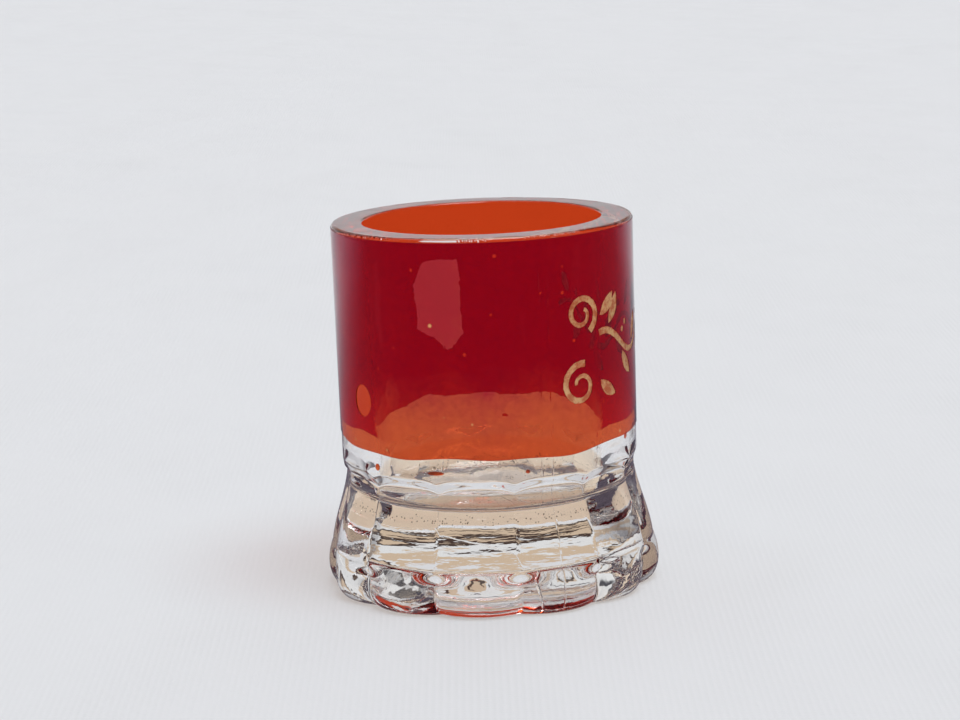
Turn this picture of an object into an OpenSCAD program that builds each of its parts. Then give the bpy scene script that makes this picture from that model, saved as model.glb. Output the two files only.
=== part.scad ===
// Ruby-stained pressed glass souvenir tumbler, shot size.
// One pressed piece of clear glass, a thin fired-on ruby coat, a sprig cut through the coat,
// and a few stray specks of the coat on the clear foot.
// Z is up, the foot stands on z = 0, and the front of the tumbler faces -Y.

/* [Bowl] */
// Overall height, foot to rim
height = 58; // [45:1:75]
// Outside diameter at the rim
rim_d = 47; // [38:0.5:60]
// How much narrower the wall is at its foot than at the rim
wall_taper = 0.6; // [0:0.1:3]
// Wall thickness at the rim
rim_wall = 4.85; // [3:0.05:6]
// How much thicker the wall is where the cavity floor starts
wall_thickening = 0.75; // [0:0.05:2]
// Thickness of the glass under the cavity
floor_z = 14.4; // [9:0.2:20]
// Fillet between the cavity wall and its floor
floor_fillet = 2; // [1:0.2:8]
// Rounding of the rim's outer edge
rim_outer_round = 0.5; // [0.3:0.1:1.8]
// Rounding of the rim's inner edge
rim_inner_round = 0.4; // [0.2:0.1:1.4]

/* [Foot] */
// Pairs of lobes round the foot
lobe_pairs = 6; // [4:1:10]
// How far the toes of the lobes stand out past the rim
toe_spread = 2.8; // [0:0.1:6]
// How far the lobes sit in from the rim at their waist
waist_step = 0.8; // [0.5:0.05:2]
// How far the lobes stand out past the rim where they meet the table
contact_spread = 0.7; // [-1:0.1:3]
// Height of the widest part of the lobes
toe_z = 3.6; // [2:0.1:4.6]
// Height of the crease over the bead round the foot
crease_z = 7.2; // [6:0.1:10]
// How far the crease sits in from the widest part
crease_step = 0.8; // [0.3:0.1:2]
// Height of the waist
waist_z = 18.6; // [12:0.2:19]
// Height of the tops of the lobes
lobe_top_z = 21.2; // [20:0.1:30]
// Rounding of the corners at the tops of the lobes
lobe_corner = 0.8; // [0.4:0.1:3]
// Height of the step from a lobe out to the wall
lobe_step_h = 2; // [0.8:0.1:2.5]
// Depth of the valleys between the lobes at the toe
toe_valley = 1.5; // [0.4:0.1:2.5]
// Depth of the valleys from the waist down to the crease
waist_valley = 0.5; // [0.1:0.05:1.2]
// Height below the crease over which the valleys get their full depth
valley_fade = 2.5; // [1:0.1:3]
// Share of straight slope in the flare
flare_straight = 0.5; // [0:0.05:0.8]
// Width of the flat ring that the glass stands on, from a valley in to the hollow
contact_ring = 3.6; // [2:0.1:8]
// Depth of the hollow under the foot
hollow_depth = 4.4; // [1:0.1:6]
// How far the hollow's side leans in from its edge to its roof
hollow_lean = 4.6; // [1:0.1:6]

/* [Ruby coat] */
// Thickness of the coat
coat_t = 0.12; // [0.08:0.01:0.3]
// Gap between the coat and the start of the rim's rounding
coat_top_gap = 0.1; // [0:0.1:2]
// Clear band between the lobes and the coat's painted edge, on average
clear_band = 3.7; // [2:0.1:8]
// How much higher that edge runs at the back than at the side, and lower at the front
coat_tilt = 1; // [0:0.1:1.2]
// Height of the waves along that edge
coat_wave = 0.9; // [0:0.1:1.2]

/* [Sprig] */
// How far the sprig's middle line lies below the middle of the coat
sprig_drop = 1.3; // [0:0.1:2.5]
// Azimuth of the sprig's left end, counted rightwards from the front
sprig_az = 30; // [0:1:50]
// Width of the cut strokes
stroke_w = 1.1; // [0.6:0.05:1.5]
// Length of the leaves
leaf_l = 5.2; // [3:0.1:6.5]
// Width of the leaves
leaf_w = 1.9; // [1:0.1:2.4]

/* [Hidden] */
$fn = 96;

rim_r = rim_d / 2;
wall_base_r = rim_r - wall_taper / 2;
// The bowl's plain wall starts just above the lobes
shoulder_z = lobe_top_z + 0.2;
// Draft of the outer wall and of the cavity wall, degrees from upright
outer_draft = atan((rim_r - wall_base_r) / (height - rim_outer_round - shoulder_z));
cavity_rim_r = rim_r - rim_wall;
cavity_base_r = wall_base_r - rim_wall - wall_thickening;
cavity_draft = atan((cavity_rim_r - cavity_base_r) / (height - rim_inner_round - floor_z));

rim_outer_c = [rim_r - rim_outer_round, height - rim_outer_round];
rim_inner_c = [cavity_rim_r + rim_inner_round, height - rim_inner_round];
fillet_c = [cavity_base_r + floor_fillet * (tan(cavity_draft) - 1 / cos(cavity_draft)),
            floor_z + floor_fillet];

lobes = 2 * lobe_pairs;
toe_r = rim_r + toe_spread;
crease_r = toe_r - crease_step;
waist_r = rim_r - waist_step;
contact_r = rim_r + contact_spread;
hollow_r = contact_r - toe_valley - contact_ring;
// Steps across each lobe, and rows up the toe, the bead, the flare and the lobes' tops
lobe_steps = 10;
toe_rows = 5;
bead_rows = 4;
flare_rows = 6;
top_rows = 7;
// Steps up the curved side of the hollow under the foot
hollow_rows = 8;
foot_columns = lobes * lobe_steps;
// Step between the top of the lobed foot and the plain wall
wall_step = 0.05;
// Height at which the lobes start to step out to the wall, at their corners
step_z = lobe_top_z - lobe_corner - lobe_step_h;
// The parting line of the mould runs up the middle of a lobe; the valley before it is at this angle from +X
lobe_phase = -90 + 9;

coat_columns = 180;
coat_top_z = height - rim_outer_round - coat_top_gap;
coat_edge_z = shoulder_z + clear_band;
coat_h = coat_top_z - coat_edge_z;
// Decoration on the wall grows and shrinks with the coat's height
deco = coat_h / 32.3;
sprig_z = coat_edge_z + coat_h / 2 - sprig_drop * deco;
// Reach of a cut on either side of the wall, so that it goes right through the coat
cut_reach = 0.6;
// Clearance between the coat's flat facets and the round wall
coat_fit = 0.005;
// The frosted strokes are this much narrower than their cuts
stroke_fit = 0.02;
// They lie this far off the wall, so that their flat facets clear its curve
stroke_lift = stroke_fit + pow(max(leaf_w, stroke_w) * deco, 2) / (8 * wall_base_r);

// A bare window in the coat at the back: corners as [distance to the right, height]
window_az = 203.5;
window_z = coat_edge_z + 0.5 * coat_h - 0.4 * deco;
window_outline = [[5, 3.7], [3.8, 5.9], [2, 7.5], [-4.7, 7.5], [-5.1, 1], [-5.1, -5],
                  [-3.5, -6.6], [-2, -7.6], [-0.2, -6.2], [0.8, -5.2], [3, -4.4], [5.2, -3.4]];
// A bare oval at the left: azimuth, height, half width and half height
bare_oval = [-55, coat_edge_z + 0.22 * coat_h, 2.1, 2.5];
// Stray specks on the clear band: azimuth, half width and half height
speck_z = shoulder_z + 0.2 * clear_band;
specks = [[-21, 1.35, 0.3], [-48, 0.5, 0.55], [14, 0.35, 0.3], [96, 0.8, 0.4], [171, 0.6, 0.35]];

// Outer radius of the bowl wall at height z
function wall_r(z) = wall_base_r + (z - shoulder_z) * tan(outer_draft);

// Smooth step from 0 to 1, with t held to that range
function smooth(t) = let (c = min(1, max(0, t))) c * c * (3 - 2 * c);

// Share of the flare at height z: 1 at the crease, 0 at the waist and above
function flare(z) = min(1, max(0, (waist_z - z) / (waist_z - crease_z)));

// Radius over the lobes at height z
function crest_r(z) = let (
    s = (1 - flare_straight) * smooth(flare(z)) + flare_straight * flare(z),
    c = max(0, 1 - z / toe_z))
    z < toe_z ? contact_r + (toe_r - contact_r) * sqrt(1 - c * c)
    : z < crease_z ? toe_r - crease_step * pow((z - toe_z) / (crease_z - toe_z), 2)
    : waist_r + (crease_r - waist_r) * s;

// Radius of the foot at height z, phi going from -1 to 1 across each lobe
function lobe_r(phi, z) = let (
    valley = waist_valley + (toe_valley - waist_valley) * smooth((crease_z - z) / valley_fade),
    top = lobe_top_z - lobe_corner * pow(phi, 4),
    out = smooth((z - top + lobe_step_h) / lobe_step_h))
    (1 - out) * (crest_r(z) - valley * phi * phi) + out * (wall_r(z) - wall_step);

function foot_heights() = concat(
    [for (i = [0 : toe_rows - 1]) toe_z * (1 - cos(90 * i / toe_rows))],
    [for (i = [0 : bead_rows - 1]) toe_z + (crease_z - toe_z) * i / bead_rows],
    [for (i = [0 : flare_rows - 1]) crease_z + (step_z - crease_z) * i / flare_rows],
    [for (i = [0 : top_rows]) step_z + (shoulder_z - step_z) * i / top_rows]);

// Side triangles between row i and row i + 1 of rings of n points
function band(i, n) = [for (j = [0 : n - 1]) let (k = (j + 1) % n)
    each [[i * n + j, (i + 1) * n + j, i * n + k], [i * n + k, (i + 1) * n + j, (i + 1) * n + k]]];

// The lobed foot: a closed solid from the table up to the bowl's plain wall
module lobed_foot() {
    zs = foot_heights();
    n = foot_columns;
    points = [for (z = zs, j = [0 : n - 1]) let (
        r = lobe_r(2 * (j % lobe_steps) / lobe_steps - 1, z),
        a = lobe_phase + 360 * j / n)
        [r * cos(a), r * sin(a), z]];
    sides = [for (i = [0 : len(zs) - 2]) each band(i, n)];
    bottom = [[for (j = [0 : n - 1]) j]];
    top = [[for (j = [n - 1 : -1 : 0]) (len(zs) - 1) * n + j]];
    polyhedron(points, concat(bottom, top, sides));
}

// Half section of the cavity, up past the rim
module cavity_section() {
    wall = [cos(cavity_draft), -sin(cavity_draft)];
    intersection() {
        translate(fillet_c) circle(r = floor_fillet);
        translate([0, floor_z - 1]) square([rim_r, floor_fillet * 2]);
    }
    polygon([[0, floor_z], [fillet_c[0], floor_z], fillet_c, fillet_c + floor_fillet * wall,
             rim_inner_c - rim_inner_round * wall, [rim_inner_c[0], height + 1], [0, height + 1]]);
}

// Half section of the bowl's plain wall, with both edges of the rim rounded
module wall_section() {
    wall = [cos(outer_draft), -sin(outer_draft)];
    inner = [cos(cavity_draft), -sin(cavity_draft)];
    polygon([[cavity_base_r - 1, shoulder_z - 2], [wall_base_r - 2, shoulder_z - 2],
             [wall_base_r - 2, shoulder_z], [wall_base_r, shoulder_z],
             rim_outer_c + rim_outer_round * wall, rim_outer_c,
             [rim_outer_c[0], height], [rim_inner_c[0], height], rim_inner_c,
             rim_inner_c - rim_inner_round * inner, [cavity_base_r - 1, height - 3]]);
    translate(rim_outer_c) circle(r = rim_outer_round);
    translate(rim_inner_c) circle(r = rim_inner_round);
}

// Half section of the hollow under the foot
module hollow_section() {
    n = hollow_rows;
    side = [for (i = [0 : n]) [hollow_r - hollow_lean * i / n, hollow_depth * smooth(i / n)]];
    polygon(concat([[0, -1], [hollow_r, -1]], side, [[0, hollow_depth]]));
}

module glass_body() {
    color([0.93, 0.92, 0.89, 0.5])
    difference() {
        union() {
            rotate_extrude() wall_section();
            lobed_foot();
        }
        rotate_extrude() cavity_section();
        rotate_extrude() hollow_section();
    }
}

// Height of the coat's lower edge at angle a from +X
function coat_edge(a) = coat_edge_z
    + coat_tilt * sin(a) - coat_wave * (0.28 * sin(5 * a + 40) + 0.17 * sin(11 * a));

// A sleeve on the bowl wall, as thick as the coat, from the heights in low up to high
module wall_sleeve(low, high) {
    n = coat_columns;
    flat = 1 / cos(180 / n);
    function at(j, z, d) = let (a = 360 * j / n, r = (wall_r(z) + d) * flat) [r * cos(a), r * sin(a), z];
    points = concat(
        [for (j = [0 : n - 1]) at(j, low[j], coat_fit)], [for (j = [0 : n - 1]) at(j, high, coat_fit)],
        [for (j = [0 : n - 1]) at(j, high, coat_t)], [for (j = [0 : n - 1]) at(j, low[j], coat_t)]);
    sides = [for (i = [0 : 3], j = [0 : n - 1]) let (p = i * n, q = ((i + 1) % 4) * n, k = (j + 1) % n)
        each [[p + j, p + k, q + j], [p + k, q + k, q + j]]];
    polyhedron(points, sides);
}

// A prism that runs out through the wall at azimuth az and height z, drawn as seen from outside
module wall_prism(az, z) {
    rotate([0, 0, az]) translate([0, -wall_r(z) + cut_reach * 3, z]) rotate([90, 0, 0])
        linear_extrude(height = cut_reach * 6) children();
}

module bare_windows() {
    wall_prism(window_az, window_z) scale(deco) polygon(window_outline);
    wall_prism(bare_oval[0], bare_oval[1]) scale([bare_oval[2], bare_oval[3]] * deco) circle(r = 1, $fn = 32);
}

// Sprig strokes, each a list of [along the wall, up, half width], in mm from the sprig's left end
function spiral(c, r0, r1, a0, turn, w, n) = [for (i = [0 : n]) let (
    t = i / n, r = r0 + (r1 - r0) * t, a = a0 + turn * t)
    [c[0] + r * cos(a), c[1] + r * sin(a), w * (1 - 0.45 * t)]];
function stem_v(u) = 2.1 * sin(360 * (u - 4) / 17);
function stem(n) = [for (i = [0 : n]) let (u = 7 + 38 * i / n)
    [u, stem_v(u), stroke_w / 2 * (1 - 0.5 * i / n)]];
function leaf(p, a, l, w) = [for (i = [0 : 8]) let (t = i / 8, b = a + 14 * (t - 0.5))
    [p[0] + l * t * cos(b), p[1] + l * t * sin(b), 0.04 + w / 2 * pow(sin(180 * t), 0.8)]];
function berry(p, r) = [for (i = [0 : 8]) let (a = 180 * i / 8)
    [p[0] - r * cos(a), p[1], max(0.04, r * sin(a))]];

stem_leaves = [for (i = [0 : 8]) let (u = 9.4 + 4.1 * i, up = i % 2 == 0 ? 1 : -1)
    leaf([u, stem_v(u) + up * 1.1], up * 58, leaf_l * (1 - 0.03 * i), leaf_w)];
stem_berries = [for (i = [0 : 3]) let (u = 13.6 + 8.2 * i) each [
    berry([u, stem_v(u) + 2.3], 0.5), berry([u + 1.1, stem_v(u) + 3.3], 0.5)]];
scrolls = [
    spiral([3.4, 5.2], 3.1, 0.9, -60, 480, stroke_w / 2, 30),
    spiral([3, -5.6], 3.4, 0.9, 75, 460, stroke_w / 2, 30)];
scroll_leaves = [leaf([7.3, 4.6], 38, leaf_l * 0.9, leaf_w), leaf([7.2, -5.4], -42, leaf_l * 0.9, leaf_w)];
sprig_strokes = concat([stem(48)], stem_leaves, stem_berries, scrolls, scroll_leaves);

// A stroke laid on the bowl wall between two depths off it, widened by grow on either side
module wall_stroke(s, inner, outer, grow) {
    last = len(s) - 1;
    function side(i, k) = let (
        d = [s[min(i + 1, last)][0] - s[max(i - 1, 0)][0], s[min(i + 1, last)][1] - s[max(i - 1, 0)][1]],
        n = [-d[1], d[0]] / norm(d))
        [s[i][0] + k * (s[i][2] + grow) * n[0], s[i][1] + k * (s[i][2] + grow) * n[1]];
    function on_wall(p, depth) = let (
        z = sprig_z + deco * p[1], r = wall_r(z) + depth,
        a = -90 + sprig_az + deco * p[0] / wall_r(sprig_z) * 180 / PI)
        [r * cos(a), r * sin(a), z];
    points = [for (i = [0 : last]) each [on_wall(side(i, 1), inner), on_wall(side(i, -1), inner),
        on_wall(side(i, -1), outer), on_wall(side(i, 1), outer)]];
    sides = [for (i = [0 : last - 1], k = [0 : 3]) let (p = 4 * i, q = 4 * (i + 1), m = (k + 1) % 4)
        each [[p + k, p + m, q + k], [p + m, q + m, q + k]]];
    ends = [[0, 2, 1], [0, 3, 2],
            [4 * last, 4 * last + 1, 4 * last + 2], [4 * last, 4 * last + 2, 4 * last + 3]];
    polyhedron(points, concat(sides, ends));
}

module sprig(inner, outer, grow) {
    for (s = sprig_strokes) wall_stroke(s, inner, outer, grow);
}

module ruby_coat() {
    color([0.62, 0.05, 0.06, 0.8])
    difference() {
        wall_sleeve([for (j = [0 : coat_columns - 1]) coat_edge(360 * j / coat_columns)], coat_top_z);
        bare_windows();
        sprig(-cut_reach, cut_reach, stroke_fit);
    }
}

module cut_sprig() {
    color([0.93, 0.66, 0.42])
    sprig(stroke_lift, coat_t, 0);
}

module coat_specks() {
    color([0.6, 0.16, 0.08])
    intersection() {
        wall_sleeve([for (j = [0 : coat_columns - 1]) shoulder_z + 0.1], speck_z + clear_band / 2);
        for (s = specks) wall_prism(s[0], speck_z) scale([s[1], s[2]]) circle(r = 1, $fn = 24);
    }
}

glass_body();
ruby_coat();
cut_sprig();
coat_specks();
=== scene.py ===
import math
import random

import bmesh
import bpy
import numpy as np
from mathutils import Matrix, Vector
from mathutils.geometry import delaunay_2d_cdt

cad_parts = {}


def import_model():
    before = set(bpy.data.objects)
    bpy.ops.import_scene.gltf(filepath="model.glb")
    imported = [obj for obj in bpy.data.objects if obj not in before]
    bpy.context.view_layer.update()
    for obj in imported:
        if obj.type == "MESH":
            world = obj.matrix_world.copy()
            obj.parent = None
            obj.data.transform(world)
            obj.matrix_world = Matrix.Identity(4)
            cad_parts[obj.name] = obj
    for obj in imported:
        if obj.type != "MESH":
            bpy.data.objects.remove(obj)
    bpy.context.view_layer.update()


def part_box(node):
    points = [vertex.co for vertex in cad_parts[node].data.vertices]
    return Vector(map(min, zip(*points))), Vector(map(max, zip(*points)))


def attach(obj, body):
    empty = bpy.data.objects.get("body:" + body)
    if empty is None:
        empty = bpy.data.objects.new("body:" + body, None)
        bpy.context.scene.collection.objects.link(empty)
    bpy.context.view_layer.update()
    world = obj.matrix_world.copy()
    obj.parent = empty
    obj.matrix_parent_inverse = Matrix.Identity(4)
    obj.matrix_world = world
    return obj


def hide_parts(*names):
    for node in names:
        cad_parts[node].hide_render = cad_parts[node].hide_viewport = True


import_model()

MM = 0.001
body_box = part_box("glass_body")
coat_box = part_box("ruby_coat")

# ---------------------------------------------------- sizes of the glass, in millimetres
HEIGHT = body_box[1].z / MM
COAT_TOP = coat_box[1].z / MM
COAT_T = 0.12
RIM_R = round(coat_box[1].x / MM - COAT_T, 1)
WALL_BASE_R = RIM_R - 0.3
RIM_ROUND_OUT = 0.5
RIM_ROUND_IN = 0.4
RIM_WALL = 4.85
FLOOR_Z = 14.4
FLOOR_FILLET = 2.0
CAVITY_RIM_R = RIM_R - RIM_WALL
CAVITY_BASE_R = WALL_BASE_R - RIM_WALL - 0.75

LOBES = 12
VALLEY_AZ = 9.0
MOULD_SEAM_AZ = VALLEY_AZ + 15.0
TOE_R = RIM_R + 2.78
CREASE_R = TOE_R - 0.8
WAIST_R = RIM_R - 0.8
CONTACT_R = RIM_R + 0.7
TOE_Z = 3.6
WAIST_Z = 18.6
LOBE_TOP = 21.2
LOBE_CORNER = 0.8
LOBE_STEP = 2.0
TOE_VALLEY = 1.5
WAIST_VALLEY = 0.5
BEAD_TOP = 7.2
BEAD_FADE = 2.5
FLARE_STRAIGHT = 0.5
HOLLOW_R = CONTACT_R - TOE_VALLEY - 3.6
HOLLOW_DEPTH = 4.4
HOLLOW_LEAN = 4.6

SHOULDER_Z = LOBE_TOP + 0.2
WALL_TOP = HEIGHT - RIM_ROUND_OUT
DRAFT = math.atan((RIM_R - WALL_BASE_R) / (WALL_TOP - SHOULDER_Z))
CAVITY_DRAFT = math.atan((CAVITY_RIM_R - CAVITY_BASE_R) / (HEIGHT - RIM_ROUND_IN - FLOOR_Z))
COLUMNS_A_LOBE = 28
COLUMNS = LOBES * COLUMNS_A_LOBE

CLEAR_BAND = 3.7
COAT_TILT = 1.0
COAT_WAVE = 0.9
COAT_EDGE = SHOULDER_Z + CLEAR_BAND
SPRIG_AZ = 30.0
SPRIG_Z = COAT_EDGE + (COAT_TOP - COAT_EDGE) / 2 - 1.3


# the skins on the wall, each with its thickness
SKIN_LIFT = 0.005
COAT_SKIN = 0.11
STROKE_SKIN = 0.03
SPECK_SKIN = 0.06

GLASS_IOR = 1.5
FRONT = (0.17, -0.985)


def smooth(t):
    t = min(1.0, max(0.0, t))
    return t * t * (3 - 2 * t)


def wall_r(z):
    """Outer radius of the bowl's plain wall at height z."""
    return WALL_BASE_R + (z - SHOULDER_Z) * math.tan(DRAFT)


def crest_r(z):
    """Radius over the lobes at height z."""
    if z < TOE_Z:
        c = 1 - z / TOE_Z
        return CONTACT_R + (TOE_R - CONTACT_R) * math.sqrt(max(0.0, 1 - c * c))
    if z < BEAD_TOP:
        return TOE_R - (TOE_R - CREASE_R) * ((z - TOE_Z) / (BEAD_TOP - TOE_Z)) ** 2
    f = min(1.0, max(0.0, (WAIST_Z - z) / (WAIST_Z - BEAD_TOP)))
    return WAIST_R + (CREASE_R - WAIST_R) * ((1 - FLARE_STRAIGHT) * smooth(f) + FLARE_STRAIGHT * f)


def valley_depth(z):
    return WAIST_VALLEY + (TOE_VALLEY - WAIST_VALLEY) * smooth((BEAD_TOP - z) / BEAD_FADE)


# ---------------------------------------------------- node helpers
def group_input(tree, name, kind, value=None):
    s = tree.interface.new_socket(name, in_out="INPUT", socket_type=kind)
    if value is not None:
        s.default_value = value
    return s


def node(tree, kind, inputs=(), **settings):
    """A new node with its settings, its inputs set to values or linked to sockets."""
    n = tree.nodes.new(kind)
    for key, value in settings.items():
        setattr(n, key, value)
    for key, value in dict(inputs).items():
        if isinstance(value, bpy.types.NodeSocket):
            tree.links.new(value, n.inputs[key])
        else:
            n.inputs[key].default_value = value
    return n


def maths(tree, operation, a, b=0.0, c=0.0, clamp=False):
    n = node(tree, "ShaderNodeMath", {0: a, 1: b, 2: c}, operation=operation, use_clamp=clamp)
    return n.outputs[0]


def object_axes(tree):
    """X, Y and Z of the place on the piece."""
    where = node(tree, "ShaderNodeTexCoord").outputs["Object"]
    return node(tree, "ShaderNodeSeparateXYZ", {0: where}).outputs


def from_axis(tree, axes):
    """Distance from the glass's axis."""
    x2 = maths(tree, "MULTIPLY", axes["X"], axes["X"])
    y2 = maths(tree, "MULTIPLY", axes["Y"], axes["Y"])
    return maths(tree, "SQRT", maths(tree, "ADD", x2, y2))


def to_front(tree, axes):
    """How far a place or a direction lies towards the front."""
    x = maths(tree, "MULTIPLY", axes["X"], FRONT[0])
    return maths(tree, "ADD", x, maths(tree, "MULTIPLY", axes["Y"], FRONT[1]))


def ramp(tree, value, low, high, smooth_ends=True):
    """0 at low and 1 at high."""
    kind = "SMOOTHSTEP" if smooth_ends else "LINEAR"
    inputs = {"Value": value, "From Min": low, "From Max": high}
    return node(tree, "ShaderNodeMapRange", inputs, interpolation_type=kind).outputs["Result"]


def mixed(tree, share, a, b):
    return node(tree, "ShaderNodeMix", {0: share, 6: a, 7: b}, data_type="RGBA").outputs[2]


def noise(tree, where, scale, detail, **settings):
    inputs = {"Vector": where, "Scale": scale, "Detail": detail, **settings}
    return node(tree, "ShaderNodeTexNoise", inputs).outputs["Fac"]


# ---------------------------------------------------- the lobed revolve
def lobed_revolve_tree():
    """Turns a profile's rows round the axis, with lobes that end under a step to the wall."""
    t = bpy.data.node_groups.new("Lobed revolve", "GeometryNodeTree")
    t.is_modifier = True
    t.interface.new_socket("Geometry", in_out="INPUT", socket_type="NodeSocketGeometry")
    group_input(t, "Columns", "NodeSocketInt", COLUMNS)
    group_input(t, "Lobes", "NodeSocketInt", LOBES)
    group_input(t, "First Valley", "NodeSocketFloat", 0.0)
    group_input(t, "Lobe Top", "NodeSocketFloat", 0.02)
    group_input(t, "Corner", "NodeSocketFloat", 0.002)
    group_input(t, "Step Height", "NodeSocketFloat", 0.0015)
    group_input(t, "Glass", "NodeSocketMaterial")
    t.interface.new_socket("Geometry", in_out="OUTPUT", socket_type="NodeSocketGeometry")
    gi = t.nodes.new("NodeGroupInput").outputs
    go = t.nodes.new("NodeGroupOutput")

    rows = node(t, "GeometryNodeAttributeDomainSize", {"Geometry": gi["Geometry"]},
                component="MESH").outputs["Point Count"]
    more = maths(t, "ADD", gi["Columns"], 1)
    grid = node(t, "GeometryNodeMeshGrid", {"Vertices X": more, "Vertices Y": rows})
    index = t.nodes.new("GeometryNodeInputIndex").outputs[0]
    row = maths(t, "MODULO", index, rows)
    column = maths(t, "FLOOR", maths(t, "DIVIDE", maths(t, "ADD", index, 0.5), rows))

    def of_row(value, kind):
        n = node(t, "GeometryNodeSampleIndex", data_type=kind, domain="POINT")
        t.links.new(gi["Geometry"], n.inputs["Geometry"])
        t.links.new(value, n.inputs["Value"])
        t.links.new(row, n.inputs["Index"])
        return n.outputs["Value"]

    def stored(name):
        n = node(t, "GeometryNodeInputNamedAttribute", {"Name": name}, data_type="FLOAT")
        return n.outputs["Attribute"]

    place = of_row(t.nodes.new("GeometryNodeInputPosition").outputs[0], "FLOAT_VECTOR")
    axes = node(t, "ShaderNodeSeparateXYZ", {0: place}).outputs
    valley = of_row(stored("valley"), "FLOAT")
    step_to = of_row(stored("step_to"), "FLOAT")

    turn = maths(t, "DIVIDE", column, gi["Columns"])
    # -1 and 1 in the valleys, 0 on the crest between them
    phi = maths(t, "FRACT", maths(t, "MULTIPLY", turn, gi["Lobes"]))
    phi = maths(t, "MULTIPLY_ADD", phi, 2.0, -1.0)
    dip = maths(t, "MULTIPLY", valley, maths(t, "MULTIPLY", phi, phi))
    lobed = maths(t, "SUBTRACT", axes["X"], dip)
    fourth = maths(t, "POWER", maths(t, "ABSOLUTE", phi), 4.0)
    top = maths(t, "SUBTRACT", gi["Lobe Top"], maths(t, "MULTIPLY", gi["Corner"], fourth))
    below = maths(t, "SUBTRACT", top, gi["Step Height"])
    out = ramp(t, axes["Z"], below, top)
    kept = maths(t, "MULTIPLY", lobed, maths(t, "SUBTRACT", 1.0, out))
    radius = maths(t, "ADD", kept, maths(t, "MULTIPLY", step_to, out))
    angle = maths(t, "MULTIPLY_ADD", turn, 2 * math.pi, gi["First Valley"])
    x = maths(t, "MULTIPLY", radius, maths(t, "COSINE", angle))
    y = maths(t, "MULTIPLY", radius, maths(t, "SINE", angle))
    where = node(t, "ShaderNodeCombineXYZ", {"X": x, "Y": y, "Z": axes["Z"]}).outputs[0]
    placed = node(t, "GeometryNodeSetPosition",
                  {"Geometry": grid.outputs["Mesh"], "Position": where}).outputs[0]
    merged = node(t, "GeometryNodeMergeByDistance", {"Geometry": placed, "Distance": 2e-7})
    real = node(t, "GeometryNodeRealizeInstances", {"Geometry": merged.outputs[0]}).outputs[0]
    glass = node(t, "GeometryNodeSetMaterial", {"Geometry": real, "Material": gi["Glass"]})
    t.links.new(glass.outputs[0], go.inputs[0])
    return t


def revolve(tree, rows, glass):
    """The rows (radius, height, valley depth, radius to step out to) turned round the axis."""
    mesh = bpy.data.meshes.new("rows")
    steps = [(i, i + 1) for i in range(len(rows) - 1)]
    mesh.from_pydata([(r * MM, 0, z * MM) for r, z, _, _ in rows], steps, [])
    for name, column in (("valley", 2), ("step_to", 3)):
        values = mesh.attributes.new(name, "FLOAT", "POINT")
        values.data.foreach_set("value", [row[column] * MM for row in rows])
    piece = bpy.data.objects.new("rows", mesh)
    bpy.context.scene.collection.objects.link(piece)
    mod = piece.modifiers.new("Lobed revolve", "NODES")
    mod.node_group = tree
    settings = {"Columns": COLUMNS, "Lobes": LOBES, "First Valley": math.radians(VALLEY_AZ - 90),
                "Lobe Top": LOBE_TOP * MM, "Corner": LOBE_CORNER * MM,
                "Step Height": LOBE_STEP * MM, "Glass": glass}
    for item in tree.interface.items_tree:
        if item.item_type == "SOCKET" and item.in_out == "INPUT" and item.name in settings:
            mod[item.identifier] = settings[item.name]
    bpy.context.view_layer.update()
    finished = piece.evaluated_get(bpy.context.evaluated_depsgraph_get())
    result = bpy.data.meshes.new_from_object(finished)
    bpy.data.objects.remove(piece)
    return result


def row(r, z, valley=0.0, step_to=None):
    return (r, z, valley, r if step_to is None else step_to)


def foot_rows():
    rows = [row((HOLLOW_R - HOLLOW_LEAN) * i / 6, HOLLOW_DEPTH) for i in range(6)]
    for i in range(17):
        rows.append(row(HOLLOW_R - HOLLOW_LEAN * (1 - i / 16), HOLLOW_DEPTH * (1 - smooth(i / 16))))
    for i in range(1, 8):
        rows.append(row(HOLLOW_R + (CONTACT_R - HOLLOW_R) * i / 8, 0.0, TOE_VALLEY * (i / 8)))
    for i in range(16):
        z = TOE_Z * (1 - math.cos(math.pi / 2 * i / 16))
        rows.append(row(crest_r(z), z, valley_depth(z)))
    for i in range(10):
        z = TOE_Z + (BEAD_TOP - TOE_Z) * i / 10
        rows.append(row(crest_r(z), z, valley_depth(z)))
    low, high = BEAD_TOP, LOBE_TOP - LOBE_CORNER - LOBE_STEP
    for i in range(22):
        z = low + (high - low) * i / 22
        rows.append(row(crest_r(z), z, valley_depth(z)))
    for i in range(25):
        z = high + (SHOULDER_Z - high) * i / 24
        rows.append(row(crest_r(z), z, valley_depth(z), wall_r(z)))
    return rows


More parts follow.
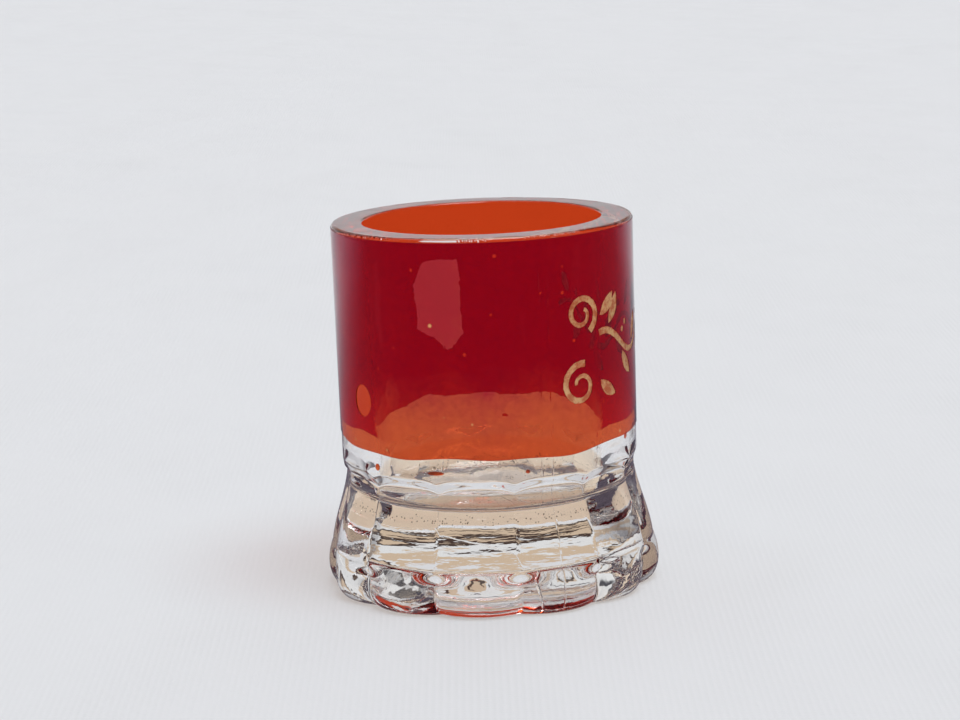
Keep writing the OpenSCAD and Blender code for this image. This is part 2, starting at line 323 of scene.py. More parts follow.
def mouth_rows():
    rows = []
    cx, cz = RIM_R - RIM_ROUND_OUT, HEIGHT - RIM_ROUND_OUT
    for i in range(11):
        a = math.pi / 2 * i / 10
        start = wall_r(WALL_TOP) - cx
        reach = start * (1 - i / 10) + RIM_ROUND_OUT * i / 10
        rows.append(row(cx + reach * math.cos(a), cz + RIM_ROUND_OUT * math.sin(a)))
    cx2, cz2 = CAVITY_RIM_R + RIM_ROUND_IN, HEIGHT - RIM_ROUND_IN
    for i in range(1, 4):
        rows.append(row(cx + (cx2 - cx) * i / 4, HEIGHT))
    for i in range(9):
        a = (math.pi / 2 + CAVITY_DRAFT) * i / 8
        rows.append(row(cx2 - RIM_ROUND_IN * math.sin(a), cz2 + RIM_ROUND_IN * math.cos(a)))
    fr = CAVITY_BASE_R + FLOOR_FILLET * (math.tan(CAVITY_DRAFT) - 1 / math.cos(CAVITY_DRAFT))
    fz = FLOOR_Z + FLOOR_FILLET
    r0, z0 = rows[-1][0], rows[-1][1]
    r1 = fr + FLOOR_FILLET * math.cos(CAVITY_DRAFT)
    z1 = fz - FLOOR_FILLET * math.sin(CAVITY_DRAFT)
    for i in range(1, 24):
        rows.append(row(r0 + (r1 - r0) * i / 24, z0 + (z1 - z0) * i / 24))
    for i in range(15):
        a = CAVITY_DRAFT + (math.pi / 2 - CAVITY_DRAFT) * i / 14
        rows.append(row(fr + FLOOR_FILLET * math.cos(a), fz - FLOOR_FILLET * math.sin(a)))
    for i in range(1, 8):
        rows.append(row(fr * (1 - i / 7), FLOOR_Z))
    return rows


# ---------------------------------------------------- what is painted and cut on the wall
SEAM_AZ = VALLEY_AZ + 240.0
FLAT_R = (RIM_R + WALL_BASE_R) / 2


def along(az):
    """Distance along the unrolled wall of an azimuth counted rightwards from the front."""
    return math.radians((az - SEAM_AZ) % 360.0) * FLAT_R


def coat_edge(az):
    a = math.radians(az - 90)
    wave = -0.28 * math.sin(5 * a + math.radians(40)) - 0.17 * math.sin(11 * a)
    return COAT_EDGE + COAT_TILT * math.sin(a) + COAT_WAVE * wave


def spiral(c, r0, r1, a0, turn, w, n=30):
    out = []
    for i in range(n + 1):
        t = i / n
        r, a = r0 + (r1 - r0) * t, math.radians(a0 + turn * t)
        out.append((c[0] + r * math.cos(a), c[1] + r * math.sin(a), w * (1 - 0.45 * t)))
    return out


STROKE_W = 1.1
LEAF_L = 5.2
LEAF_W = 1.9


def stem_v(u):
    return 2.1 * math.sin(math.radians(360 * (u - 4) / 17))


def leaf(p, a, l, w):
    out = []
    for i in range(9):
        t = i / 8
        b = math.radians(a + 14 * (t - 0.5))
        half = 0.04 + w / 2 * max(0.0, math.sin(math.pi * t)) ** 0.8
        out.append((p[0] + l * t * math.cos(b), p[1] + l * t * math.sin(b), half))
    return out


def berry(p, r):
    turns = [math.pi * i / 8 for i in range(9)]
    return [(p[0] - r * math.cos(a), p[1], max(0.04, r * math.sin(a))) for a in turns]


def sprig_strokes():
    """Stem, leaves, berries and scrolls, each a middle line with half widths."""
    stem = [(7 + 38 * i / 48, STROKE_W / 2 * (1 - 0.5 * i / 48)) for i in range(49)]
    strokes = [[(u, stem_v(u), w) for u, w in stem]]
    for i in range(9):
        u, up = 9.4 + 4.1 * i, 1 if i % 2 == 0 else -1
        strokes.append(leaf((u, stem_v(u) + up * 1.1), up * 58, LEAF_L * (1 - 0.03 * i), LEAF_W))
    for i in range(4):
        u = 13.6 + 8.2 * i
        strokes += [berry((u, stem_v(u) + 2.3), 0.5), berry((u + 1.1, stem_v(u) + 3.3), 0.5)]
    strokes.append(spiral((3.4, 5.2), 3.1, 0.9, -60, 480, STROKE_W / 2))
    strokes.append(spiral((3, -5.6), 3.4, 0.9, 75, 460, STROKE_W / 2))
    strokes.append(leaf((7.3, 4.6), 38, LEAF_L * 0.9, LEAF_W))
    strokes.append(leaf((7.2, -5.4), -42, LEAF_L * 0.9, LEAF_W))
    return strokes


def outline(stroke):
    """Closed outline of a stroke on the unrolled wall, from its middle line and half widths."""
    left, right = [], []
    last = len(stroke) - 1
    for i, (x, y, w) in enumerate(stroke):
        a, b = stroke[max(i - 1, 0)], stroke[min(i + 1, last)]
        dx, dy = b[0] - a[0], b[1] - a[1]
        n = math.hypot(dx, dy)
        left.append((x - w * dy / n, y + w * dx / n))
        right.append((x + w * dy / n, y - w * dx / n))
    base = along(SPRIG_AZ)
    k = FLAT_R / wall_r(SPRIG_Z)
    return [(base + u * k, SPRIG_Z + v) for u, v in left + right[::-1]]


def roughened(points, spacing, jitter, rng):
    """The same closed outline with points every so often, each pushed a little aside."""
    out = []
    for i, a in enumerate(points):
        b = points[(i + 1) % len(points)]
        length = math.hypot(b[0] - a[0], b[1] - a[1])
        steps = max(1, round(length / spacing))
        for k in range(steps):
            out.append((a[0] + (b[0] - a[0]) * k / steps + rng.uniform(-jitter, jitter),
                        a[1] + (b[1] - a[1]) * k / steps + rng.uniform(-jitter, jitter)))
    return out


def ring(az, z, half_w, half_h, n=28):
    """An oval on the unrolled wall."""
    u = along(az)
    turns = [2 * math.pi * i / n for i in range(n)]
    return [(u + half_w * math.cos(a), z + half_h * math.sin(a)) for a in turns]


# the bare window's outline round its own middle, and each speck's azimuth and half sizes
WINDOW = [(5.0, 3.7), (3.8, 5.9), (2, 7.5), (-4.7, 7.5), (-5.1, 1), (-5.1, -5), (-3.5, -6.6),
          (-2, -7.6), (-0.2, -6.2), (0.8, -5.2), (3, -4.4), (5.2, -3.4)]
WINDOW_AZ = 203.5
WINDOW_UP = -0.4
OVAL_AZ = -55
OVAL_HALF = (2.1, 2.5)
SPECKS = [(-21, 1.35, 0.3), (-48, 0.5, 0.55), (14, 0.35, 0.3), (96, 0.8, 0.4), (171, 0.6, 0.35)]
CLEAR, COAT, STROKE, SPECK = range(4)


def inside(points, polygon):
    """Which of the points lie inside the polygon."""
    x, y = points[:, 0], points[:, 1]
    result = np.zeros(len(points), bool)
    p = np.array(polygon)
    q = np.roll(p, -1, axis=0)
    for (ax, ay), (bx, by) in zip(p, q):
        crosses = (ay > y) != (by > y)
        if ay != by:
            result ^= crosses & (x < (bx - ax) * (y - ay) / (by - ay) + ax)
    return result


def twice_area(verts, faces):
    """Twice each triangle's area, above zero where it turns anticlockwise."""
    a, b, c = (verts[faces[:, k]] for k in range(3))
    return (b - a)[:, 0] * (c - a)[:, 1] - (b - a)[:, 1] * (c - a)[:, 0]


def painted_wall():
    """Triangles of the unrolled wall, each with what it is: clear, coat, stroke or speck."""
    rng = random.Random(11)
    width = 2 * math.pi * FLAT_R
    points, edges = [], []

    def add_line(line, closed):
        start = len(points)
        points.extend(line)
        n = len(line)
        edges.extend((start + i, start + (i + 1) % n) for i in range(n if closed else n - 1))

    seam_rows = [SHOULDER_Z + (WALL_TOP - SHOULDER_Z) * i / 30 for i in range(31)]
    bottom = [(width * j / COLUMNS, SHOULDER_Z) for j in range(COLUMNS + 1)]
    top = [(width * j / COLUMNS, WALL_TOP) for j in range(COLUMNS + 1)]
    steps = COLUMNS * 2
    edge_line = [(width * j / steps, coat_edge(SEAM_AZ + 360 * j / steps))
                 for j in range(steps + 1)]
    edge_line[-1] = (width, edge_line[0][1])
    top_line = [(width * j / COLUMNS, COAT_TOP) for j in range(COLUMNS + 1)]
    side = sorted(seam_rows[1:-1] + [edge_line[0][1], COAT_TOP])
    right, left = [(width, z) for z in side], [(0.0, z) for z in side[::-1]]
    add_line(bottom + right + top[::-1] + left, True)
    add_line(edge_line, False)
    add_line(top_line, False)

    window_u = along(WINDOW_AZ)
    window_z = COAT_EDGE + 0.5 * (COAT_TOP - COAT_EDGE) + WINDOW_UP
    window = roughened([(window_u + u, window_z + v) for u, v in WINDOW], 0.5, 0.1, rng)
    bare = [window, ring(OVAL_AZ, COAT_EDGE + 0.22 * (COAT_TOP - COAT_EDGE), *OVAL_HALF)]
    strokes = [roughened(outline(s), 0.3, 0.035, rng) for s in sprig_strokes()]
    specks = [ring(az, SHOULDER_Z + 0.2 * CLEAR_BAND, w, h, 20) for az, w, h in SPECKS]
    for loop in bare + strokes + specks:
        add_line(loop, True)

    # an even grid of points fills the wall, none too near a line
    cell, clearance = 0.4, 0.3
    cells = {}
    for x, y in points:
        cells.setdefault((int(x / cell), int(y / cell)), []).append((x, y))
    grid = []
    across, up = COLUMNS // 2, 27
    for i in range(1, up):
        z = SHOULDER_Z + (WALL_TOP - SHOULDER_Z) * i / up
        for j in range(across):
            u = width * (j + 0.25 + 0.5 * (i % 2)) / across
            cx, cy = int(u / cell), int(z / cell)
            near = [p for a in (-1, 0, 1) for b in (-1, 0, 1)
                    for p in cells.get((cx + a, cy + b), ())]
            if all((p[0] - u) ** 2 + (p[1] - z) ** 2 > clearance ** 2 for p in near):
                grid.append((u, z))
    coords = [Vector(p) for p in points + grid]
    verts, _, faces, *_ = delaunay_2d_cdt(coords, edges, [], 0, 1e-6)
    verts = np.array([(v.x, v.y) for v in verts])
    faces = np.array([f for f in faces if len(f) == 3])
    mid = verts[faces].mean(axis=1)
    full = np.abs(twice_area(verts, faces)) > 1e-9
    faces, mid = faces[full], mid[full]

    edge_z = np.interp(mid[:, 0], [p[0] for p in edge_line], [p[1] for p in edge_line])
    what = np.where((mid[:, 1] > edge_z) & (mid[:, 1] < COAT_TOP), COAT, CLEAR)
    for loops_of, kind in ((bare, CLEAR), (strokes, STROKE), (specks, SPECK)):
        for loop in loops_of:
            what[inside(mid, loop)] = kind
    return verts, faces, what


def rolled(verts, proud):
    """The unrolled points back on the wall, standing proud of it by so many mm."""
    a = np.radians(SEAM_AZ - 90) + verts[:, 0] / FLAT_R
    r = WALL_BASE_R + (verts[:, 1] - SHOULDER_Z) * math.tan(DRAFT) + proud
    return np.column_stack([r * np.cos(a), r * np.sin(a), verts[:, 1]]) * MM


def wall_normals(verts):
    a = np.radians(SEAM_AZ - 90) + verts[:, 0] / FLAT_R
    c, s = math.cos(DRAFT), math.sin(DRAFT)
    return np.column_stack([c * np.cos(a), c * np.sin(a), np.full(len(a), -s)])


# ---------------------------------------------------- materials
def new_material(name):
    m = bpy.data.materials.new(name)
    m.use_nodes = True
    m.node_tree.nodes.clear()
    return m, m.node_tree


def finish_material(t, surface):
    out = t.nodes.new("ShaderNodeOutputMaterial")
    t.links.new(surface, out.inputs["Surface"])


def lets_lamps_through(t, surface, colour):
    """Light that falls through the glass onto what stands under it isn't bent, only tinted."""
    path = t.nodes.new("ShaderNodeLightPath").outputs
    lit = maths(t, "MAXIMUM", path["Is Shadow Ray"], path["Is Diffuse Ray"])
    through = node(t, "ShaderNodeBsdfTransparent", {"Color": colour})
    return node(t, "ShaderNodeMixShader", {0: lit, 1: surface, 2: through.outputs[0]}).outputs[0]


def effect_group(name, inputs, output, kind):
    """An empty effect with named inputs and one output: its tree, its inputs and its end."""
    g = bpy.data.node_groups.new(name, "ShaderNodeTree")
    for key, value in inputs.items():
        socket = "NodeSocketColor" if isinstance(value, tuple) else "NodeSocketFloat"
        group_input(g, key, socket, value)
    g.interface.new_socket(output, in_out="OUTPUT", socket_type=kind)
    ends = g.nodes.new("NodeGroupInput").outputs, g.nodes.new("NodeGroupOutput").inputs[output]
    return g, *ends


def ripple_group():
    """Shallow waves and dimples of a pressed surface, as a height. Wave Size is in mm."""
    g, gi, end = effect_group("Pressed ripple", {"Wave Size": 6.0, "Fine Share": 0.2},
                              "Height", "NodeSocketFloat")
    where = node(g, "ShaderNodeTexCoord").outputs["Object"]
    scale = maths(g, "DIVIDE", 1 / MM, gi["Wave Size"])
    broad = noise(g, where, scale, 1.0)
    fine = noise(g, where, maths(g, "MULTIPLY", scale, 3.7), 2.0)
    g.links.new(maths(g, "MULTIPLY_ADD", fine, gi["Fine Share"], broad), end)
    return g


def seam_group():
    """A fine ridge up the glass where two parts of the mould met, as a height."""
    g, gi, end = effect_group("Mould seam", {"Azimuth": math.radians(MOULD_SEAM_AZ),
                                             "Half Width": 0.2 * MM}, "Height", "NodeSocketFloat")
    axes = object_axes(g)
    aside = maths(g, "ADD", maths(g, "MULTIPLY", axes["X"], maths(g, "COSINE", gi["Azimuth"])),
                  maths(g, "MULTIPLY", axes["Y"], maths(g, "SINE", gi["Azimuth"])))
    near = maths(g, "DIVIDE", maths(g, "ABSOLUTE", aside), gi["Half Width"])
    g.links.new(ramp(g, near, 1.0, 0.0), end)
    return g


def worn_rim_group():
    """Nibbles and tiny chips round the outer edge of the rim, as a height."""
    g, gi, end = effect_group("Worn rim", {"Rim Height": HEIGHT * MM, "Reach": 1.0 * MM,
                                           "Radius": RIM_R * MM}, "Height", "NodeSocketFloat")
    where = node(g, "ShaderNodeTexCoord").outputs["Object"]
    axes = object_axes(g)
    below = maths(g, "SUBTRACT", gi["Rim Height"], axes["Z"])
    within = maths(g, "SUBTRACT", gi["Radius"], from_axis(g, axes))
    fall = maths(g, "DIVIDE", maths(g, "MAXIMUM", below, within), gi["Reach"])
    near = ramp(g, fall, 1.0, 0.3)
    patch = ramp(g, noise(g, where, 160.0, 1.0), 0.47, 0.6, smooth_ends=False)
    chips = node(g, "ShaderNodeTexVoronoi", {"Vector": where, "Scale": 2600.0}).outputs["Distance"]
    g.links.new(maths(g, "MULTIPLY", maths(g, "MULTIPLY", near, patch), chips), end)
    return g


def dust_group():
    """Scattered specks of dust and grime, thicker in one band of heights, as a mask."""
    g, gi, end = effect_group("Dust", {"Band Height": 15 * MM, "Band Width": 1.0 * MM,
                                       "Speck Scale": 1500.0, "Everywhere": 0.0},
                              "Mask", "NodeSocketFloat")
    where = node(g, "ShaderNodeTexCoord").outputs["Object"]
    off = maths(g, "ABSOLUTE", maths(g, "SUBTRACT", object_axes(g)["Z"], gi["Band Height"]))
    off = maths(g, "DIVIDE", off, gi["Band Width"])
    band = ramp(g, off, 1.0, 0.0, smooth_ends=False)
    cells = node(g, "ShaderNodeTexVoronoi", {"Vector": where, "Scale": gi["Speck Scale"]}).outputs
    rare = node(g, "ShaderNodeSeparateColor", {"Color": cells["Color"]}).outputs["Red"]
    wanted = maths(g, "ADD", maths(g, "MULTIPLY", band, 0.7), gi["Everywhere"])
    kept = maths(g, "LESS_THAN", rare, wanted)
    dot = ramp(g, cells["Distance"], 0.42, 0.2, smooth_ends=False)
    g.links.new(maths(g, "MULTIPLY", kept, dot), end)
    return g


RIPPLE, SEAM, WORN_RIM, DUST = ripple_group(), seam_group(), worn_rim_group(), dust_group()


def with_values(t, group, **values):
    """The effect placed in a material with its own values, each named as its input is."""
    g = node(t, "ShaderNodeGroup", node_tree=group)
    for key, value in values.items():
        g.inputs[key.replace("_", " ").title()].default_value = value
    return g.outputs[0]


def bumped(t, height, distance, strength=1.0):
    inputs = {"Height": height, "Strength": strength, "Distance": distance}
    return node(t, "ShaderNodeBump", inputs).outputs[0]


def pressed_bump(t, wave_size, fine_share, distance, seam, wear):
    """Normal of a pressed surface: its waves, the mould seam and the worn rim."""
    waves = with_values(t, RIPPLE, wave_size=wave_size, fine_share=fine_share)
    height = maths(t, "MULTIPLY_ADD", with_values(t, SEAM), seam, waves)
    height = maths(t, "MULTIPLY_ADD", with_values(t, WORN_RIM), wear, height)
    return bumped(t, height, distance)


def clear_glass():
    m, t = new_material("pressed_clear_glass")
    bump = pressed_bump(t, wave_size=7.0, fine_share=0.15, distance=0.12 * MM, seam=0.25, wear=1.2)
    grime = with_values(t, DUST, band_height=(FLOOR_Z + 0.5) * MM, band_width=0.9 * MM,
                        speck_scale=2600.0)
    colour = mixed(t, grime, (1, 1, 1, 1), (0.06, 0.05, 0.04, 1))
    p = node(t, "ShaderNodeBsdfPrincipled", {
        "Base Color": colour, "Roughness": 0.0, "IOR": GLASS_IOR,
        "Transmission Weight": 1.0, "Normal": bump})
    finish_material(t, lets_lamps_through(t, p.outputs[0], (0.84, 0.81, 0.78, 1)))
    return m


def covered_glass():
    """The glass right under the coat, where glass goes on into coat and nothing bends or shines."""
    m, t = new_material("glass_under_coat")
    finish_material(t, node(t, "ShaderNodeBsdfTransparent", {"Color": (1, 1, 1, 1)}).outputs[0])
    return m


def stain_group():
    """Colour of the stain: thinner and more orange near its painted edge, and uneven."""
    g, gi, end = effect_group("Stain tint", {
        "Deep": (0.25, 0.0008, 0.0003, 1), "Thin": (0.5, 0.02, 0.002, 1),
        "Edge Height": COAT_EDGE * MM, "Fade": 8 * MM, "Patches": 0.25}, "Tint", "NodeSocketColor")
    where = node(g, "ShaderNodeTexCoord").outputs["Object"]
    drawn = node(g, "ShaderNodeMapping", {"Vector": where, "Scale": (1.0, 1.0, 0.4)}).outputs[0]
    broad, fine = noise(g, drawn, 150.0, 3.0), noise(g, where, 1100.0, 2.0)
    patch = maths(g, "SUBTRACT", maths(g, "MULTIPLY_ADD", fine, 0.45, broad), 0.72)
    rise = maths(g, "SUBTRACT", object_axes(g)["Z"], gi["Edge Height"])
    rise = maths(g, "DIVIDE", rise, gi["Fade"])
    share = ramp(g, maths(g, "MULTIPLY_ADD", patch, gi["Patches"], rise), 0.0, 1.0)
    half = maths(g, "MULTIPLY", gi["Patches"], 0.5)
    mottled = maths(g, "MULTIPLY_ADD", patch, half, share, clamp=True)
    g.links.new(mixed(g, mottled, gi["Thin"], gi["Deep"]), end)
    return g


STAIN = stain_group()


def squared(colour):
    """Base colour that tints light by this colour on its way through."""
    return tuple(c * c for c in colour) + (1,)


def ruby_stain(name, deep, thin, behind, edge, fade, patches):
    """Stain that tints light on its way in, and again where it leaves or is mirrored inside."""
    m, t = new_material(name)
    bump = pressed_bump(t, wave_size=9.0, fine_share=0.1, distance=0.06 * MM, seam=0.5, wear=2.4)
    stained = with_values(t, STAIN, deep=squared(deep), thin=squared(thin),
                          edge_height=edge * MM, fade=fade * MM, patches=patches)
    pinholes = with_values(t, DUST, band_height=0.0, band_width=0.1 * MM, speck_scale=1200.0,
                           everywhere=0.012)
    outside = node(t, "ShaderNodeBsdfPrincipled", {
        "Base Color": mixed(t, pinholes, stained, squared((0.85, 0.4, 0.16))), "Roughness": 0.0,
        "IOR": GLASS_IOR, "Specular Tint": (0.5, 0.14, 1.0, 1), "Transmission Weight": 1.0,
        "Normal": bump}).outputs[0]
    inside_out = node(t, "ShaderNodeBsdfGlass", {
        "Color": behind + (1,), "Roughness": 0.0, "IOR": GLASS_IOR, "Normal": bump}).outputs[0]
    back = node(t, "ShaderNodeNewGeometry").outputs["Backfacing"]
    both = node(t, "ShaderNodeMixShader", {0: back, 1: outside, 2: inside_out}).outputs[0]
    finish_material(t, lets_lamps_through(t, both, (0.72, 0.50, 0.47, 1)))
    return m


def frosted_cut():
    """Ground glass of the cut strokes: rough, its colour painted amber to orange, a painted tint of
    the light that comes through the stained wall behind, deeper in random patches.
    """
    m, t = new_material("wheel_frost")
    waves = with_values(t, RIPPLE, wave_size=0.45, fine_share=0.6)
    where = node(t, "ShaderNodeTexCoord").outputs["Object"]
    # painted tint of light through the stained wall behind: random patches pick between amber and
    # deeper orange
    left = ramp(t, noise(t, where, 900.0, 3.0, Roughness=0.7), 0.42, 0.6, smooth_ends=False)
    colour = mixed(t, left, (0.90, 0.60, 0.25, 1), (0.62, 0.17, 0.05, 1))
    p = node(t, "ShaderNodeBsdfPrincipled", {
        "Base Color": colour, "Roughness": 0.5, "IOR": GLASS_IOR, "Transmission Weight": 0.35,
        "Normal": bumped(t, waves, 0.06 * MM, strength=0.7)})
    finish_material(t, lets_lamps_through(t, p.outputs[0], (0.8, 0.6, 0.45, 1)))
    return m


# ---------------------------------------------------- pieces
def link(name, data):
    piece = bpy.data.objects.new(name, data)
    bpy.context.scene.collection.objects.link(piece)
    return piece


def build_body(verts, faces, what, glass, covered):
    tree = lobed_revolve_tree()
    bm = bmesh.new()
    for rows in (foot_rows(), mouth_rows()):
        part = revolve(tree, rows, glass)
        bm.from_mesh(part)
        bpy.data.meshes.remove(part)
    for face in bm.faces:
        face.material_index = 0
    on_wall = [bm.verts.new(p) for p in rolled(verts, 0.0)]
    for f, w in zip(faces, what):
        face = bm.faces.new([on_wall[i] for i in f])
        face.material_index = 1 if w else 0
    bmesh.ops.remove_doubles(bm, verts=bm.verts, dist=2e-6)
    bmesh.ops.recalc_face_normals(bm, faces=bm.faces)
    for f in bm.faces:
        f.smooth = True
    mesh = bpy.data.meshes.new("glass_body")
    bm.to_mesh(mesh)
    bm.free()
    mesh.materials.append(glass)
    mesh.materials.append(covered)
    # the plain wall keeps the smooth slope of its cone, whatever its triangles
    low, high = (SHOULDER_Z + 0.01) * MM, (WALL_TOP - 0.01) * MM
    c, s = math.cos(DRAFT), math.sin(DRAFT)
    normals = []
    outside = (wall_r(SHOULDER_Z) - 0.5) * MM
    for v, n in zip(mesh.vertices, mesh.vertex_normals):
        p = v.co
        r = math.hypot(p.x, p.y)
        if low < p.z < high and r > outside:
            normals.append((c * p.x / r, c * p.y / r, -s))
        else:
            normals.append(tuple(n.vector))
    mesh.normals_split_custom_set_from_vertices(normals)
    return link("pressed_glass_body", mesh)


def skin(name, verts, faces, thickness, outer_material, inner_material):
    """A closed skin on the wall over some of its triangles."""
    # the two sides of the unrolled wall's cut meet
    width = 2 * math.pi * FLAT_R
    left = np.where(verts[:, 0] < 1e-5)[0]
    right = np.where(verts[:, 0] > width - 1e-5)[0]
    joined = np.arange(len(verts))
    for v in right:
        near = left[np.abs(verts[left, 1] - verts[v, 1]) < 1e-4]
        if len(near):
            joined[v] = near[0]
    used = np.unique(joined[faces])
    index = {int(v): i for i, v in enumerate(used)}
    n = len(used)
    outer, inner = rolled(verts[used], SKIN_LIFT + thickness), rolled(verts[used], SKIN_LIFT)
    normal = wall_normals(verts[used])
    tri = [tuple(index[int(joined[v])] for v in f) for f in faces]
    tri = [f if up else f[::-1] for f, up in zip(tri, twice_area(verts, faces) > 0)]
    sides = {}
    for f in tri:
        for k in range(3):
            e = (f[k], f[(k + 1) % 3])
            if (e[1], e[0]) in sides:
                del sides[(e[1], e[0])]
            else:
                sides[e] = True
    places = [tuple(p) for p in outer] + [tuple(p) for p in inner]
    polygons = tri + [tuple(v + n for v in f[::-1]) for f in tri]
    polygons += [(b, a_, a_ + n, b + n) for a_, b in sides]
    mesh = bpy.data.meshes.new(name)
    mesh.from_pydata(places, [], polygons)
    mesh.materials.append(outer_material)
    mesh.materials.append(inner_material)
    count = len(tri)
    flags = [0] * count + [1] * count + [0] * len(sides)
    mesh.polygons.foreach_set("material_index", flags)
    mesh.polygons.foreach_set("use_smooth", [True] * len(polygons))
    loops = []
    for i, p in enumerate(polygons):
        if i < count:
            loops += [tuple(normal[v]) for v in p]
        elif i < 2 * count:
            loops += [tuple(-normal[v - n]) for v in p]
        else:
            loops += [tuple(mesh.polygons[i].normal)] * 4
    mesh.normals_split_custom_set(loops)
    return link(name, mesh)


wall_verts, wall_faces, wall_what = painted_wall()
glass, covered = clear_glass(), covered_glass()
stain = ruby_stain("fired_ruby", deep=(0.47, 0.028, 0.03), thin=(0.70, 0.115, 0.03),
                   behind=(0.68, 0.06, 0.012), edge=COAT_EDGE - 1.5, fade=15.0, patches=0.7)
speck_stain = ruby_stain("splashed_ruby", deep=(0.62, 0.08, 0.02), thin=(0.78, 0.16, 0.04),
                         behind=(0.74, 0.12, 0.03), edge=SHOULDER_Z, fade=2.0, patches=0.7)
frost = frosted_cut()

body = build_body(wall_verts, wall_faces, wall_what, glass, covered)
coat = skin("ruby_stain_coat", wall_verts, wall_faces[wall_what == COAT],
            COAT_SKIN, stain, covered)
sprig = skin("frosted_sprig", wall_verts, wall_faces[wall_what == STROKE],
             STROKE_SKIN, frost, covered)
specks = skin("stray_stain_specks", wall_verts, wall_faces[wall_what == SPECK],
              SPECK_SKIN, speck_stain, covered)
for piece, cad_node, slot in (
        (body, "glass_body", "clear_glass"), (coat, "ruby_coat", "ruby_stain"),
        (sprig, "cut_sprig", "frosted_cut"), (specks, "coat_specks", "stain_specks")):
    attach(piece, "root")
    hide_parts(cad_node)


# ---------------------------------------------------- stage
FLOOR_RINGS = (0.5, 1.5, 4.0, 12.0)
FLOOR_CORNERS = 64
CLOTH = (0.80, 0.80, 0.81, 1)
# colour of the painted warm shadow that the ruby glass casts, seen through the glass close behind
# it
CLOTH_PAINTED_WARM_SHADOW = (0.80, 0.66, 0.51, 1)
# colour of the painted dark reflection of the room, seen mirrored in the glass
CLOTH_PAINTED_DARK_REFLECTION = (0.17, 0.15, 0.20, 1)


def pale_cloth():
    """White cloth, with painted light on it: seen mirrored in the glass towards the front it is
    painted dark, a painted dark reflection of the room, and seen through the glass close behind it
    is painted warm, a painted shadow tinted by the ruby glass.
    """
    m, t = new_material("pale_cloth")
    path = t.nodes.new("ShaderNodeLightPath").outputs
    axes = object_axes(t)
    plain_mirror = maths(t, "SUBTRACT", 1.0, path["Is Transmission Ray"])
    mirrored = maths(t, "MULTIPLY", path["Is Glossy Ray"], plain_mirror)
    # painted dark reflection: mirror rays that don't come through glass see the cloth dark towards
    # the front
    painted_reflection_share = maths(t, "MULTIPLY", ramp(t, to_front(t, axes), -0.30, -0.08), mirrored)
    # painted warm shadow: rays through the glass see the cloth warm near the axis, fading out
    # between 5 and 11 cm
    close = ramp(t, from_axis(t, axes), 0.11, 0.05)
    painted_shadow_share = maths(t, "MULTIPLY", close, path["Is Transmission Ray"])
    colour = mixed(t, painted_reflection_share, mixed(t, painted_shadow_share, CLOTH, CLOTH_PAINTED_WARM_SHADOW), CLOTH_PAINTED_DARK_REFLECTION)
    where = node(t, "ShaderNodeTexCoord").outputs["Object"]
    thread = {"Vector": where, "Scale": 300.0, "Distortion": 0.4}
    warp = node(t, "ShaderNodeTexWave", thread, bands_direction="X").outputs["Fac"]
    weft = node(t, "ShaderNodeTexWave", thread, bands_direction="Y").outputs["Fac"]
    weave = maths(t, "MULTIPLY", maths(t, "ADD", warp, weft), 0.004)
    height = maths(t, "ADD", noise(t, where, 14.0, 2.0), weave)
    p = node(t, "ShaderNodeBsdfDiffuse", {"Color": colour, "Normal": bumped(t, height, 0.006)})
    finish_material(t, p.outputs[0])
    return m


def stage():
    """A flat round floor that faces up, in finer rings near the glass."""
    bm = bmesh.new()
    turns = [2 * math.pi * j / FLOOR_CORNERS for j in range(FLOOR_CORNERS)]
    middle = bm.verts.new((0, 0, 0))
    rings = [[bm.verts.new((r * math.cos(a), r * math.sin(a), 0)) for a in turns]
             for r in FLOOR_RINGS]
    for j in range(FLOOR_CORNERS):
        k = (j + 1) % FLOOR_CORNERS
        bm.faces.new((middle, rings[0][j], rings[0][k]))
        for a, b in zip(rings, rings[1:]):
            bm.faces.new((a[j], b[j], b[k], a[k]))
    for f in bm.faces:
        f.smooth = True
    mesh = bpy.data.meshes.new("floor")
    bm.to_mesh(mesh)
    bm.free()
    mesh.materials.append(pale_cloth())
    link("studio_floor", mesh)


stage()

ROOM_CLOTH = (0.72, 0.72, 0.74, 1)
ROOM_TAN = (0.62, 0.48, 0.35, 1)
ROOM_WHITE = (0.76, 0.76, 0.76, 1)
ROOM_SHELF = (0.07, 0.045, 0.035, 1)
ROOM_THINGS = (0.07, 0.07, 0.08, 1)
ROOM_DIM = (0.04, 0.035, 0.05, 1)
# from the horizon up, where each band of the room begins, where it is full, and its colour
ROOM_BANDS = ((0.185, 0.193, ROOM_TAN), (0.221, 0.227, ROOM_WHITE), (0.255, 0.262, ROOM_SHELF),
              (0.280, 0.287, ROOM_TAN), (0.345, 0.36, ROOM_WHITE))


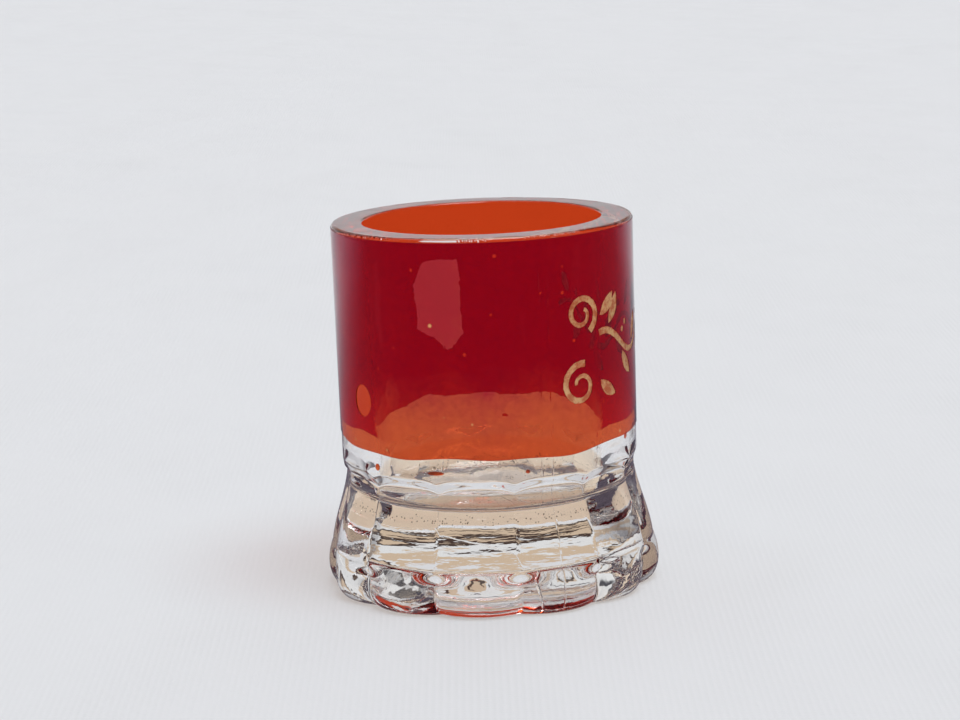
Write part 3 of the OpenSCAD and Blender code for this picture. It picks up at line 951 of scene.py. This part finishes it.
def world():
    w = bpy.data.worlds.new("studio")
    bpy.context.scene.world = w
    w.use_nodes = True
    t = w.node_tree
    t.nodes.clear()
    direction = node(t, "ShaderNodeTexCoord").outputs["Generated"]
    d = node(t, "ShaderNodeSeparateXYZ", {0: direction}).outputs
    back = ROOM_CLOTH
    for low, high, band in ROOM_BANDS:
        back = mixed(t, ramp(t, d["Z"], low, high), back, band)
    # dark things on the wall above, dim sides, a dim front and a white ceiling
    things = maths(t, "MULTIPLY", ramp(t, noise(t, direction, 5.0, 0.0), 0.5, 0.54),
                   ramp(t, d["Z"], 0.5, 0.54))
    back = mixed(t, things, back, ROOM_THINGS)
    aside = maths(t, "MULTIPLY", ramp(t, maths(t, "ABSOLUTE", d["X"]), 0.5, 0.85), 0.8)
    colour = mixed(t, aside, back, ROOM_DIM)
    colour = mixed(t, ramp(t, to_front(t, d), -0.45, 0.15), colour, ROOM_DIM)
    colour = mixed(t, ramp(t, d["Z"], 0.78, 0.9), colour, ROOM_WHITE)
    bg = node(t, "ShaderNodeBackground", {"Color": colour, "Strength": 1.0})
    out = t.nodes.new("ShaderNodeOutputWorld")
    t.links.new(bg.outputs[0], out.inputs["Surface"])


world()

SUN_POWER = 2.05
SUN_SPREAD = math.radians(40)
SUN_COLOUR = (0.94, 0.97, 1.0)
SUN_AIM = Vector((-0.25, 0.3, -1))

sun = bpy.data.lights.new("overhead", "SUN")
sun.energy, sun.angle, sun.color = SUN_POWER, SUN_SPREAD, SUN_COLOUR
overhead = link("overhead", sun)
overhead.rotation_euler = SUN_AIM.to_track_quat("-Z", "Y").to_euler()

# ---------------------------------------------------- camera
LENS = 115.4
PITCH, ROLL = math.radians(10.5), math.radians(2.1)
CAMERA_AT = (-0.001, -0.4762, 0.1236)

cam = bpy.data.cameras.new("camera")
cam.sensor_width = 36
cam.lens = LENS
cam.clip_start, cam.clip_end = 0.05, 20
camera = link("camera", cam)
forward = Vector((0, math.cos(PITCH), -math.sin(PITCH)))
side = Vector((1, 0, 0))
tilted_up = math.cos(ROLL) * side.cross(forward) + math.sin(ROLL) * side
turned = Matrix((forward.cross(tilted_up), tilted_up, -forward)).transposed()
camera.matrix_world = Matrix.Translation(CAMERA_AT) @ turned.to_4x4()
bpy.context.scene.camera = camera

scene = bpy.context.scene
scene.view_settings.view_transform = "Standard"
scene.view_settings.look = "None"
scene.cycles.max_bounces = 24
scene.cycles.transmission_bounces = 24
scene.cycles.glossy_bounces = 16
scene.cycles.transparent_max_bounces = 64
scene.cycles.caustics_refractive = True
scene.cycles.caustics_reflective = True
